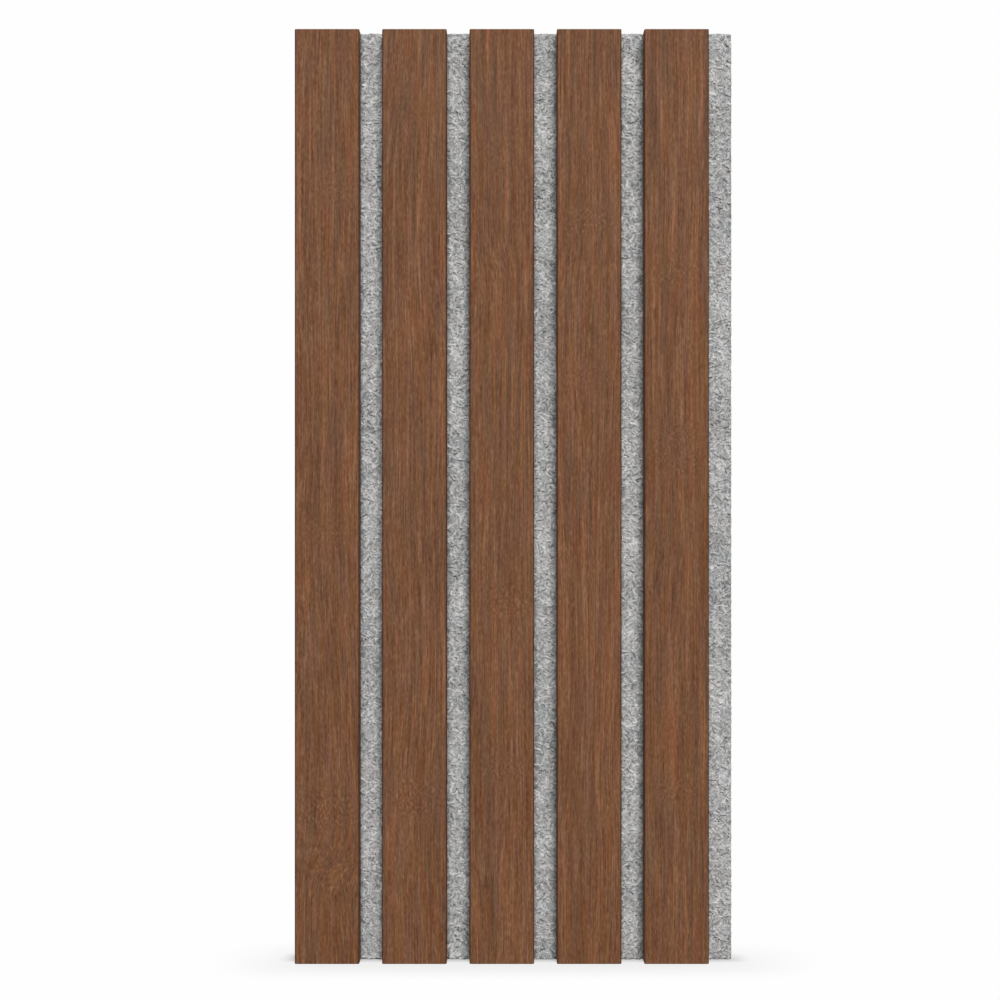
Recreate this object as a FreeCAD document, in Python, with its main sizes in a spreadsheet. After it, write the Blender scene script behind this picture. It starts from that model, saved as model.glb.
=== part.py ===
"""Acoustic slat wall panel: veneered slats glued and stapled to a felt backing.

Millimetres. +Z is up along the slats, +X is to the right as seen from the room,
and the slats face -Y. The origin is the middle of the panel's foot: the centre of
its width and depth, at the level that the lower ends stand on.
"""
import FreeCAD, Part
import math
import os
import Sketcher

# Driving dimensions: name, value, meaning
SIZES = (
    ("panel_height", 428.0, "length of the slats and of the felt, cut off together"),
    ("slat_count", 5, "slats side by side"),
    ("slat_width", 29.6, "face of one slat"),
    ("slat_thickness", 12.0, "depth of one slat from its face to the felt"),
    ("slat_gap", 10.4, "felt that shows between two slats"),
    ("arris_radius", 0.7, "veneer wrapped round the long front edges"),
    ("end_ease", 0.4, "sanded edge round the sawn ends"),
    ("felt_thickness", 9.0, "depth of the felt backing"),
    ("felt_overhang", 11.3, "felt past the last slat, covered by the next panel"),
    ("staples_per_slat", 4, "staples along one slat"),
    ("staple_margin", 34.0, "first and last staple from the panel's ends"),
    ("staple_crown", 12.8, "outer width of a staple across its legs"),
    ("wire_thickness", 0.7, "flat wire of the staple, seen from its side"),
    ("wire_width", 0.95, "flat wire of the staple, seen from its crown"),
    ("bend_radius", 1.1, "outside of the bend from crown to leg"),
    ("point_length", 1.3, "chisel point of a leg"),
    ("crown_sink", 0.3, "crown pulled in below the back of the felt"),
    ("point_cover", 4.7, "slat left whole in front of a staple's points"),
)

# Lengths that several pieces share, worked out from the sheet's cells
PITCH = "(Sizes.slat_width + Sizes.slat_gap)"
SLATS_SPAN = f"({PITCH} * Sizes.slat_count - Sizes.slat_gap)"
FELT_WIDTH = f"({SLATS_SPAN} + Sizes.felt_overhang)"
FIRST_SLAT_MIDDLE = "Sizes.slat_width / 2"
SEAM_PLACE = "(Sizes.slat_thickness - Sizes.felt_thickness) / 2"
STAPLE_RUN = "(Sizes.panel_height - 2 * Sizes.staple_margin)"

# Depths of the staples, from the seam where the slats meet the felt
CROWN_BACK = "(Sizes.felt_thickness - Sizes.crown_sink)"
CROWN_FRONT = f"({CROWN_BACK} - Sizes.wire_thickness)"
LEG_TIP = "(Sizes.point_cover - Sizes.slat_thickness)"
POINT_START = f"({LEG_TIP} + Sizes.point_length)"
BEND_START = f"({CROWN_BACK} - Sizes.bend_radius)"


def make_sheet(doc):
    """Write the driving dimensions into the sheet, one row each."""
    sheet = doc.addObject("Spreadsheet::Sheet", "Sizes")
    for row, (name, value, meaning) in enumerate(SIZES, start=1):
        sheet.set(f"A{row}", name)
        sheet.set(f"B{row}", str(value))
        sheet.setAlias(f"B{row}", name)
        sheet.set(f"C{row}", meaning)
    doc.recompute()


def origin_feature(body, role):
    """Find one of a body's own origin planes or axes."""
    return next(item for item in body.Origin.OriginFeatures if item.Role == role)


def start_body(doc, name, middle):
    """Start a piece whose own origin lies in the seam between slats and felt.

    middle is the expression for where that origin lies across the panel.
    """
    body = doc.addObject("PartDesign::Body", name)
    body.Label = name
    body.setExpression("Placement.Base.x", middle)
    body.setExpression("Placement.Base.y", SEAM_PLACE)
    return body


def cross_section(body, name, height):
    """Start a level sketch in a body, as high as an expression says."""
    sketch = body.newObject("Sketcher::SketchObject", name)
    sketch.AttachmentSupport = (origin_feature(body, "XY_Plane"), [""])
    sketch.MapMode = "FlatFace"
    sketch.setExpression("AttachmentOffset.Base.z", height)
    return sketch


def quarter_arc(start, end):
    """Draw a quarter circle that bulges to the right of the way from start to end."""
    chord = end - start
    centre = (start + end) / 2 + FreeCAD.Vector(-chord.y, chord.x, 0) / 2
    circle = Part.Circle(centre, FreeCAD.Vector(0, 0, 1), chord.Length / math.sqrt(2))
    turn = math.atan2(start.y - centre.y, start.x - centre.x)
    return Part.ArcOfCircle(circle, turn, turn + math.pi / 2)


def bind(sketch, kind, parts, term):
    """Add a constraint on parts of a sketch whose value follows an expression."""
    value = float(sketch.evalExpression(term))
    number = sketch.addConstraint(Sketcher.Constraint(kind, *parts, value))
    name = f"size_{number}"
    sketch.renameConstraint(number, name)
    sketch.setExpression(f"Constraints.{name}", term)


def draw_outline(sketch, corners, bends=None):
    """Draw a closed outline, anticlockwise, with every corner bound to the sheet.

    corners are pairs of expressions. bends gives, for the number of a corner, the
    radius of the quarter circle that leads from it to the next, as an expression.
    """
    bends = bends or {}
    points = [
        FreeCAD.Vector(*(float(sketch.evalExpression(term)) for term in corner), 0)
        for corner in corners
    ]
    edges = []
    for number, (start, end) in enumerate(zip(points, points[1:] + points[:1])):
        bent = number in bends
        curve = quarter_arc(start, end) if bent else Part.LineSegment(start, end)
        edges.append(sketch.addGeometry(curve, False))

    for edge, following in zip(edges, edges[1:] + edges[:1]):
        sketch.addConstraint(Sketcher.Constraint("Coincident", edge, 2, following, 1))
    for edge, (across, deep) in zip(edges, corners):
        bind(sketch, "DistanceX", (-1, 1, edge, 1), across)
        bind(sketch, "DistanceY", (-1, 1, edge, 1), deep)
    for number, radius in bends.items():
        bind(sketch, "Radius", (edges[number],), radius)


def rectangle(left, right, front, back):
    """Give the corners of a rectangle whose sides are expressions."""
    return [(left, front), (right, front), (right, back), (left, back)]


def extrude(body, kind, sketch, length, both_ways=False):
    """Make a pad or a pocket from a sketch, bound to a length."""
    feature = body.newObject(f"PartDesign::{kind}", f"{kind}_{sketch.Name}")
    feature.Profile = sketch
    feature.Type = "Length"
    feature.SideType = "Symmetric" if both_ways else "One side"
    feature.setExpression("Length", length)
    body.Tip = feature
    return feature


def repeat_staples(body, feature, across_slats):
    """Repeat what one staple needs up the slat and, in the felt, on every slat."""
    pattern = body.newObject("PartDesign::LinearPattern", f"{feature.Name}_rows")
    pattern.Originals = [feature]
    pattern.Direction = (origin_feature(body, "Z_Axis"), [""])
    pattern.Mode = "Extent"
    pattern.setExpression("Length", STAPLE_RUN)
    pattern.setExpression("Occurrences", "Sizes.staples_per_slat")
    if across_slats:
        pattern.Direction2 = (origin_feature(body, "X_Axis"), [""])
        pattern.Mode2 = "Extent"
        pattern.setExpression("Length2", f"{PITCH} * (Sizes.slat_count - 1)")
        pattern.setExpression("Occurrences2", "Sizes.slat_count")
    body.Tip = pattern


def ease_ends(body, base):
    """Round the edges of both sawn ends of a slat, apart from those on the felt."""
    top = base.Shape.BoundBox.ZMax
    names = []
    for number, edge in enumerate(base.Shape.Edges, start=1):
        box = edge.BoundBox
        level = box.ZMax - box.ZMin < 1e-6
        at_end = min(abs(box.ZMin), abs(box.ZMax - top)) < 1e-6
        if level and at_end and box.YMin < -1e-6:
            names.append(f"Edge{number}")
    fillet = body.newObject("PartDesign::Fillet", f"{body.Name}_eased_ends")
    fillet.Base = (base, names)
    fillet.setExpression("Radius", "Sizes.end_ease")
    body.Tip = fillet


def leg_sides(middle):
    """Give the outer and inner sides of a staple's left and right legs."""
    half = "Sizes.staple_crown / 2"
    wire = "Sizes.wire_thickness"
    return (
        (f"{middle} - {half}", f"{middle} - {half} + {wire}"),
        (f"{middle} + {half} - {wire}", f"{middle} + {half}"),
    )


def make_slat(doc, number):
    """One slat: a wrapped bar with round front edges, eased ends and staple slots."""
    middle = f"{FIRST_SLAT_MIDDLE} + {PITCH} * {number - 1} - {FELT_WIDTH} / 2"
    body = start_body(doc, f"slat_{number}", middle)
    half = "Sizes.slat_width / 2"
    face = "-Sizes.slat_thickness"
    arris = "Sizes.arris_radius"
    section = cross_section(body, f"slat_{number}_section", "0")
    corners = [
        (f"-{half}", "0"),
        (f"-{half}", f"{face} + {arris}"),
        (f"-{half} + {arris}", face),
        (f"{half} - {arris}", face),
        (half, f"{face} + {arris}"),
        (half, "0"),
    ]
    draw_outline(section, corners, bends={1: arris, 3: arris})
    bar = extrude(body, "Pad", section, "Sizes.panel_height")
    doc.recompute()
    ease_ends(body, bar)

    slots = cross_section(body, f"slat_{number}_slots", "Sizes.staple_margin")
    for left, right in leg_sides("0"):
        draw_outline(slots, rectangle(left, right, LEG_TIP, "0"))
    pocket = extrude(body, "Pocket", slots, "Sizes.wire_width", both_ways=True)
    doc.recompute()
    repeat_staples(body, pocket, across_slats=False)
    return body


def make_felt(doc):
    """The felt backing: one sheet with a channel wherever a staple passes through."""
    body = start_body(doc, "felt_backing", f"-{FELT_WIDTH} / 2")
    section = cross_section(body, "felt_section", "0")
    back = "Sizes.felt_thickness"
    draw_outline(section, rectangle("0", FELT_WIDTH, "0", back))
    extrude(body, "Pad", section, "Sizes.panel_height")

    (left, left_inner), (right_inner, right) = leg_sides(FIRST_SLAT_MIDDLE)
    corners = [
        (left, "0"),
        (left_inner, "0"),
        (left_inner, CROWN_FRONT),
        (right_inner, CROWN_FRONT),
        (right_inner, "0"),
        (right, "0"),
        (right, back),
        (left, back),
    ]
    channel = cross_section(body, "felt_channel", "Sizes.staple_margin")
    draw_outline(channel, corners)
    pocket = extrude(body, "Pocket", channel, "Sizes.wire_width", both_ways=True)
    doc.recompute()
    repeat_staples(body, pocket, across_slats=True)
    return body


def make_staples(doc):
    """The staples, driven from behind: legs through the felt into the slats."""
    body = start_body(doc, "staples", f"-{FELT_WIDTH} / 2")
    body.AllowCompound = True
    (left, left_inner), (right_inner, right) = leg_sides(FIRST_SLAT_MIDDLE)
    half_wire = "Sizes.wire_thickness / 2"
    bend = "Sizes.bend_radius"
    corners = [
        (left, BEND_START),
        (left, POINT_START),
        (f"{left} + {half_wire}", LEG_TIP),
        (left_inner, POINT_START),
        (left_inner, CROWN_FRONT),
        (right_inner, CROWN_FRONT),
        (right_inner, POINT_START),
        (f"{right} - {half_wire}", LEG_TIP),
        (right, POINT_START),
        (right, BEND_START),
        (f"{right} - {bend}", CROWN_BACK),
        (f"{left} + {bend}", CROWN_BACK),
    ]
    outline = cross_section(body, "staple_outline", "Sizes.staple_margin")
    draw_outline(outline, corners, bends={9: bend, 11: bend})
    staple = extrude(body, "Pad", outline, "Sizes.wire_width", both_ways=True)
    doc.recompute()
    repeat_staples(body, staple, across_slats=True)
    return body


def check(doc, bodies):
    """Stop if a feature failed or a piece isn't a valid solid."""
    for item in doc.Objects:
        if {"Invalid", "Error"} & set(item.State):
            raise RuntimeError(f"{item.Name} failed: {item.State}")
    for body in bodies:
        shape = body.Shape
        if shape.isNull() or not shape.isValid() or not shape.Solids:
            raise RuntimeError(f"{body.Label} is not a valid solid")


def main():
    """Build the panel and write one file for each piece."""
    doc = FreeCAD.newDocument("acoustic_slat_wall_panel")
    make_sheet(doc)
    slats = [make_slat(doc, number) for number in range(1, doc.Sizes.slat_count + 1)]
    bodies = [make_felt(doc), *slats, make_staples(doc)]
    doc.recompute()
    check(doc, bodies)

    os.makedirs("parts", exist_ok=True)
    for body in bodies:
        body.Shape.exportStep(f"parts/{body.Label}.step")
        solids = len(body.Shape.Solids)
        print(f"{body.Label}: {solids} solid(s), {body.Shape.Volume:.1f} mm3")


if __name__ == "__main__":
    main()
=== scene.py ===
"""Acoustic slat wall panel, dressed around its construction for a plain studio picture.

Everything is in metres in the panel's own frame: +Z up along the slats, -Y out of their
faces into the room, and the origin in the middle of the panel's foot. Patterns in the
finishes are drawn in millimetres.
"""
from __future__ import annotations

import logging
import math
from abc import ABC, abstractmethod
from collections.abc import Mapping
from dataclasses import dataclass, field
from enum import Enum
from functools import partial

import bpy
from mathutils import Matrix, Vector

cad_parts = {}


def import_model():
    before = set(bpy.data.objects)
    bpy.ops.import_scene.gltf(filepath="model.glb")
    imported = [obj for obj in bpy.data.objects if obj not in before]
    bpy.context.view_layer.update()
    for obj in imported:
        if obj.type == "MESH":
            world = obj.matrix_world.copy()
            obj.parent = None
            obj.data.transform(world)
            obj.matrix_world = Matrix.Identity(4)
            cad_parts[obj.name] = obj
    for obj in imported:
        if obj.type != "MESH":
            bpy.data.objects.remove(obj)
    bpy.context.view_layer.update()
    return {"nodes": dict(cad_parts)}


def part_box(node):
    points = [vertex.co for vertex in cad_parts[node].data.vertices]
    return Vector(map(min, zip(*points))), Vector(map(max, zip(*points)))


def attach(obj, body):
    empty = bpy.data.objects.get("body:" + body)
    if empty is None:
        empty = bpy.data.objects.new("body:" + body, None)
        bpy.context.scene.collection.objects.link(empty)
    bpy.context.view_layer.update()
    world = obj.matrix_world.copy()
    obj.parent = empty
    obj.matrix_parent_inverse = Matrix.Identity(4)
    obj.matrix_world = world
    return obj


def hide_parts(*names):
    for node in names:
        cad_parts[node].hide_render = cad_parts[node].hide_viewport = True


LOG = logging.getLogger("slat_panel")
MM = 0.001

# The families of node types, so that "Math" stands for ShaderNodeMath.
FAMILIES = ("ShaderNode", "GeometryNode", "FunctionNode", "Node")
# The value that every noise swings round.
MIDDLE = 0.5

Socket = bpy.types.NodeSocket
Given = Socket | float | int | bool | str | tuple[float, ...] | bpy.types.ID | None


class Slot(Enum):
    """The material slots that the panel's record names."""

    WALNUT = "walnut"
    FELT = "felt"
    STAPLE_WIRE = "staple_wire"


class FeltSide(Enum):
    """The sides of the felt sheet, each as the span of its normals' Y."""

    ROOM = (-1.1, -0.7)
    RIM = (-0.7, 0.7)
    WALL = (0.7, 1.1)


def linear(colour: str) -> tuple[float, float, float, float]:
    """Turn an sRGB hex colour into the linear colour that a shader takes.

    Args:
        colour: Six hex digits after a hash.

    Returns:
        Red, green, blue and an alpha of 1.
    """
    shares = (int(colour[at : at + 2], 16) / 255 for at in (1, 3, 5))
    red, green, blue = (
        share / 12.92 if share <= 0.04045 else ((share + 0.055) / 1.055) ** 2.4
        for share in shares
    )
    return red, green, blue, 1.0


def add(
    tree: bpy.types.NodeTree,
    kind: str,
    *values: Given,
    output: str | None = None,
    **settings: object,
) -> Socket | None:
    """Add a node with its settings and links, and hand back one of its outputs.

    Args:
        tree: The shader or geometry tree that takes the node.
        kind: The node's type without its family, with its operation after a space.
        values: What goes into its inputs, in their order: an output to link, a value to
            set, or None for an input that keeps its own value.
        output: The name of the output to hand back, or None for the first.
        settings: The node's own settings, in small letters, and more of what goes into
            its inputs, by the inputs' names with low lines for spaces.

    Returns:
        The output, or None from a node that has no output.
    """
    kind, _, operation = kind.partition(" ")
    family = next(family for family in FAMILIES if hasattr(bpy.types, family + kind))
    node = tree.nodes.new(family + kind)
    if operation:
        node.operation = operation
    for name, setting in settings.items():
        if name.islower():
            setattr(node, name, setting)
    inputs = [socket for socket in node.inputs if socket.enabled]
    named = {socket.name.replace(" ", "_"): socket for socket in reversed(inputs)}
    given = list(zip(inputs, values))
    given += [(named[name], value) for name, value in settings.items() if not name.islower()]
    for socket, value in given:
        if isinstance(value, Socket):
            tree.links.new(value, socket)
        elif value is not None:
            socket.default_value = value
    outputs = (socket for socket in node.outputs if socket.enabled)
    return next((found for found in outputs if output in (None, found.name)), None)


def tinted(
    node: partial,
    colour: Socket,
    tint: str,
    pattern: Socket,
    levels: tuple[float, float],
    weight: float,
) -> tuple[Socket, Socket]:
    """Lay a tint over a colour where a pattern passes from one level to another.

    Args:
        node: The function that adds a node.
        colour: The colour below.
        tint: The tint, as an sRGB hex colour.
        pattern: The pattern.
        levels: Where the tint starts, and where it is full.
        weight: Its share where it is full.

    Returns:
        The colour, and the tint's share in it.
    """
    share = node("MapRange", pattern, *levels, 0.0, weight)
    return node("Mix", share, colour, linear(tint), data_type="RGBA"), share


@dataclass(frozen=True)
class PanelLayout:
    """Where the panel's pieces lie, in metres, read from its construction."""

    left: float
    right: float
    front: float
    seam: float
    back: float
    height: float
    slat_width: float
    pitch: float
    slat_count: int

    @classmethod
    def from_frame(cls, nodes: Mapping[str, bpy.types.Object]) -> PanelLayout:
        """Read the layout from the boxes of the felt and of the first two slats.

        Args:
            nodes: The construction's nodes by name.

        Returns:
            The layout that every piece is built on.
        """
        felt_low, felt_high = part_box("felt_backing")
        first_low, first_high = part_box("slat_1")
        second_low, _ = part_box("slat_2")
        return cls(
            left=felt_low.x,
            right=felt_high.x,
            front=first_low.y,
            seam=felt_low.y,
            back=felt_high.y,
            height=felt_high.z,
            slat_width=first_high.x - first_low.x,
            pitch=second_low.x - first_low.x,
            slat_count=sum(name.startswith("slat_") for name in nodes),
        )

    def slat_middle(self, number: int) -> float:
        """Give the place of a slat's middle across the panel, counted from 1."""
        return self.left + self.slat_width / 2 + (number - 1) * self.pitch


@dataclass(frozen=True)
class Finish:
    """A finish, named for what it is and how its surface was made."""

    name: str

    def start(self) -> tuple[bpy.types.Material, partial, Socket]:
        """Start the material, with its patterns drawn in millimetres.

        Returns:
            The material, the function that adds a node to it, and the place in millimetres.
        """
        material = bpy.data.materials.new(self.name)
        material.use_nodes = True
        material.node_tree.nodes.clear()
        node = partial(add, material.node_tree)
        metres = node("TexCoord", output="Object")
        return material, node, node("VectorMath SCALE", metres, 1 / MM)


@dataclass(frozen=True)
class MattFinish(Finish):
    """A finish with little gloss, and with a relief that is too fine to model.

    The relief's depth is in millimetres, and its share is how strongly it shows.
    """

    roughness: float
    specular: float
    relief_depth: float
    relief_share: float

    def close(self, node: partial, colour: Socket, height: Socket) -> None:
        """Close the material with its surface.

        Args:
            node: The function that adds a node.
            colour: The colour's pattern.
            height: The relief's pattern.
        """
        depth = self.relief_depth * MM
        bump = node("Bump", Strength=self.relief_share, Distance=depth, Height=height)
        gloss = {"Roughness": self.roughness, "Specular_IOR_Level": self.specular}
        node("OutputMaterial", node("BsdfPrincipled", colour, Normal=bump, **gloss))


@dataclass(frozen=True)
class Streaks:
    """One layer of streaks along the grain: its size in millimetres and its weight."""

    width: float
    length: float
    weight: float

    def pattern(self, node: partial, place: Socket) -> Socket:
        """Draw the streaks up the slat.

        Args:
            node: The function that adds a node.
            place: The place in millimetres.

        Returns:
            A value about the middle one.
        """
        squeeze = (1 / self.width, 1 / self.width, 1 / self.length)
        squeezed = node("VectorMath MULTIPLY", place, squeeze)
        return node("TexNoise", squeezed, 1.0, 0.0)

    def swing(self, node: partial, place: Socket) -> Socket:
        """Draw the streaks as a value about zero, as strong as their weight.

        Args:
            node: The function that adds a node.
            place: The place in millimetres.

        Returns:
            The value.
        """
        value = node("Math SUBTRACT", self.pattern(node, place), MIDDLE)
        return node("Math MULTIPLY", value, self.weight)


@dataclass(frozen=True)
class Figure:
    """A patch on one slat's face where the grain isn't straight, in millimetres.

    Its middle is given across from the slat's own middle and up from the foot. The grain
    there curls and shows as dots, leans over as a whole, or opens like a fan, each by its
    own share. The patch fades between two distances, in shares of its half size.
    """

    slat: int
    across: float
    up: float
    half_width: float
    half_height: float
    curl: float = 0.0
    lean: float = 0.0
    fan: float = 0.0
    fade: tuple[float, float] = (1.4, 0.4)

    def away(self, node: partial, place: Socket, layout: PanelLayout) -> Socket:
        """Give the way from the patch's middle, in shares of its half size.

        Args:
            node: The function that adds a node.
            place: The place in millimetres.
            layout: The panel's layout.

        Returns:
            The way, across and up.
        """
        middle = (layout.slat_middle(self.slat) / MM + self.across, 0.0, self.up)
        away = node("VectorMath SUBTRACT", place, middle)
        return node("VectorMath MULTIPLY", away, (1 / self.half_width, 0.0, 1 / self.half_height))

    def curled(self, node: partial, away: Socket, curling: Socket | float) -> Socket | float:
        """Add the patch's curl to that of the others.

        Args:
            node: The function that adds a node.
            away: The way from the patch's middle.
            curling: How far the other patches curl the grain.

        Returns:
            How far this patch and the others curl it.
        """
        if not self.curl:
            return curling
        far = node("VectorMath LENGTH", away)
        share = node("MapRange", far, *self.fade, interpolation_type="SMOOTHSTEP")
        return node("Math MULTIPLY_ADD", share, self.curl, curling)

    def leaned(self, node: partial, away: Socket, shift: Socket) -> Socket:
        """Lean the grain within the patch, or fan it, and let it run back far beyond.

        Args:
            node: The function that adds a node.
            away: The way from the patch's middle.
            shift: How far the grain is moved aside already.

        Returns:
            How far it is moved aside with this patch.
        """
        if not (self.lean or self.fan):
            return shift
        parts = node("SeparateXYZ", away).node.outputs
        up, aside = parts["Z"], parts["X"]
        slack = node("Math MULTIPLY_ADD", up, up, 1.0)
        rise = node("Math DIVIDE", up, slack)
        slope = node("Math MULTIPLY_ADD", aside, self.fan, self.lean)
        lean = node("Math MULTIPLY", rise, slope)
        lean = node("Math MULTIPLY", lean, self.half_height)
        aside = node("Math ABSOLUTE", aside)
        within = node("MapRange", aside, *self.fade, interpolation_type="SMOOTHSTEP")
        return node("Math MULTIPLY_ADD", lean, within, shift)


# Where the veneer of each slat is figured, from the top down.
FIGURES = (
    Figure(1, 5.0, 356.0, 13.0, 13.0, curl=0.55),
    Figure(1, 0.0, 197.0, 15.0, 9.0, curl=0.6),
    Figure(1, 0.0, 71.0, 17.0, 13.0, curl=0.95),
    Figure(1, 4.5, 44.0, 15.0, 20.0, lean=-0.34),
    Figure(2, 0.0, 394.0, 15.0, 12.0, curl=0.45),
    Figure(2, 1.0, 76.0, 16.0, 11.0, curl=0.9),
    Figure(3, -2.0, 374.0, 15.0, 15.0, curl=0.45),
    Figure(3, -3.5, 323.0, 9.0, 17.0, lean=0.18),
    Figure(3, 2.0, 167.0, 15.0, 10.0, curl=0.85),
    Figure(3, 0.0, 89.0, 14.0, 7.0, curl=0.8),
    Figure(4, 0.0, 340.0, 15.0, 8.0, curl=0.85),
    Figure(4, 1.0, 322.0, 14.0, 14.0, fan=0.16),
    Figure(4, 0.0, 269.0, 15.0, 6.0, curl=0.7),
    Figure(4, 0.0, 73.0, 15.0, 13.0, fan=0.18, curl=0.25),
    Figure(5, 0.0, 317.0, 15.0, 10.0, curl=0.7),
    Figure(5, 0.5, 237.0, 17.0, 18.0, curl=0.8),
    Figure(5, 0.0, 109.0, 14.0, 8.0, curl=0.6),
    Figure(5, 0.0, 80.0, 14.0, 8.0, curl=0.7),
)


@dataclass(frozen=True)
class WalnutVeneer(MattFinish):
    """Walnut veneer, sliced, wrapped round the slat and lacquered matt.

    Slicing gives fine even streaks, some rust and some grey, over a broad red or olive
    cast, and patches where the grain rises and shows as short dots. The thin lacquer
    leaves only a broad faint sheen. Each long front edge gets a painted shade, the
    pores' dark brown laid over its rounded corner.
    """

    name: str = "walnut_veneer_matt_lacquer"
    roughness: float = 0.65
    specular: float = 0.15
    relief_depth: float = 0.08
    relief_share: float = 0.3
    dark: str = "#4F270A"
    light: str = "#8E664A"
    rust: str = "#7D4922"
    grey_brown: str = "#61493E"
    red: str = "#87443A"
    olive: str = "#635B30"
    # The pores' dark brown, also laid on the long front edges as painted shade.
    pore_and_edge_shade: str = "#2E1A10"
    bands: tuple[Streaks, ...] = (
        Streaks(12.0, 300.0, 0.22),
        Streaks(2.6, 90.0, 0.58),
    )
    lines: tuple[Streaks, ...] = (
        Streaks(0.68, 42.0, 0.66),
        Streaks(0.68, 9.0, 0.56),
        Streaks(0.68, 2.2, 0.70),
    )
    dots: tuple[Streaks, ...] = (Streaks(0.8, 1.5, 1.25),)
    tint: Streaks = Streaks(2.2, 32.0, 0.25)
    cast: Streaks = Streaks(1.8, 22.0, 0.085)
    pores: Streaks = Streaks(0.75, 40.0, 0.24)
    sway: Streaks = Streaks(24.0, 90.0, 5.5)
    curl: Streaks = Streaks(8.0, 9.0, 1.2)
    high_levels: tuple[float, float] = (MIDDLE, 0.7)
    low_levels: tuple[float, float] = (MIDDLE, 0.3)
    pore_levels: tuple[float, float] = (0.6, 0.75)
    mean_square: float = 0.27
    leaf_step: float = 1000.0
    # How far in from the long front edges the painted shade reaches, in millimetres, and its
    # share.
    edge_shade_reach: tuple[float, float] = (0.8, 0.2)
    edge_shade_share: float = 0.65

    def material(self, layout: PanelLayout, figures: tuple[Figure, ...]) -> bpy.types.Material:
        """Make the veneer of all slats, each from another place in the log.

        Args:
            layout: The panel's layout, which tells the slats apart.
            figures: The patches where the grain isn't straight.

        Returns:
            The material.
        """
        material, node, place = self.start()
        across = node("SeparateXYZ", place, output="X")
        across = node("Math SUBTRACT", across, layout.slat_middle(1) / MM)
        number = node("Math DIVIDE", across, layout.pitch / MM)
        number = node("Math ROUND", number)
        grain, curling = self.bent_place(node, place, number, layout, figures)

        lines = self.layered(node, grain, self.lines, MIDDLE)
        dots = self.layered(node, grain, self.dots, MIDDLE)
        tone = node("Mix", curling, lines, dots)
        colour = node("Mix", tone, linear(self.dark), linear(self.light), data_type="RGBA")
        for streaks, levels, tint in (
            (self.tint, self.high_levels, self.rust),
            (self.tint, self.low_levels, self.grey_brown),
            (self.cast, self.high_levels, self.red),
            (self.cast, self.low_levels, self.olive),
        ):
            pattern = streaks.pattern(node, grain)
            colour, _ = tinted(node, colour, tint, pattern, levels, streaks.weight)
        pattern = self.pores.pattern(node, grain)
        colour, pores = tinted(
            node, colour, self.pore_and_edge_shade, pattern, self.pore_levels, self.pores.weight
        )
        bands = self.layered(node, grain, self.bands, 1.0)
        colour = node("VectorMath SCALE", colour, bands)
        # Painted shade: the long front edges are darkened towards the pores' dark brown.
        painted_edge_shade = self.painted_edge_shade(node, place, number, layout)
        colour = node("Mix", painted_edge_shade, colour, linear(self.pore_and_edge_shade), data_type="RGBA")
        self.close(node, colour, node("Math SUBTRACT", tone, pores))
        return material

    def layered(
        self, node: partial, place: Socket, layers: tuple[Streaks, ...], tone: Socket | float
    ) -> Socket:
        """Lay streaks over each other, the light ones narrower than the dark.

        Args:
            node: The function that adds a node.
            place: The place in millimetres.
            layers: The streaks.
            tone: What they are added to.

        Returns:
            The sum, which the layers leave as it was on average.
        """
        for layer in layers:
            value = node("Math POWER", layer.pattern(node, place), 2.0)
            value = node("Math SUBTRACT", value, self.mean_square)
            tone = node("Math MULTIPLY_ADD", value, layer.weight, tone)
        return tone

    def bent_place(
        self,
        node: partial,
        place: Socket,
        number: Socket,
        layout: PanelLayout,
        figures: tuple[Figure, ...],
    ) -> tuple[Socket, Socket]:
        """Bend the grain, with a slow sway everywhere and more in its figured patches.

        Args:
            node: The function that adds a node.
            place: The place in millimetres.
            number: The slat's number from 0.
            layout: The panel's layout.
            figures: The patches where the grain isn't straight.

        Returns:
            The place in the log, in millimetres, and how far the grain curls there.
        """
        step = node("Math MULTIPLY", number, self.leaf_step)
        step = node("CombineXYZ", 0.0, 0.0, step)
        log = node("VectorMath ADD", place, step)
        shift = self.sway.swing(node, log)
        curling: Socket | float = 0.0
        for figure in figures:
            away = figure.away(node, place, layout)
            curling = figure.curled(node, away, curling)
            shift = figure.leaned(node, away, shift)
        shift = node("Math MULTIPLY_ADD", self.curl.swing(node, log), curling, shift)
        move = node("CombineXYZ", shift, shift)
        return node("VectorMath ADD", log, move), curling

    def painted_edge_shade(self, node: partial, place: Socket, number: Socket, layout: PanelLayout) -> Socket:
        """Find the painted shade along the slat's long front edges.

        Args:
            node: The function that adds a node.
            place: The place in millimetres.
            number: The slat's number from 0.
            layout: The panel's layout.

        Returns:
            The share of the painted shade's dark colour.
        """
        first = layout.slat_middle(1) / MM
        middle = node("Math MULTIPLY_ADD", number, layout.pitch / MM, first)
        middle = node("CombineXYZ", middle, layout.front / MM)
        away = node("VectorMath SUBTRACT", place, middle)
        away = node("VectorMath ABSOLUTE", away)
        away = node("VectorMath SUBTRACT", away, (layout.slat_width / MM / 2, 0.0, 0.0))
        away = node("VectorMath MULTIPLY", away, (1.0, 1.0, 0.0))
        far = node("VectorMath LENGTH", away)
        levels = (*self.edge_shade_reach, 0.0, self.edge_shade_share)
        return node("MapRange", far, *levels, interpolation_type="SMOOTHSTEP")


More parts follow.
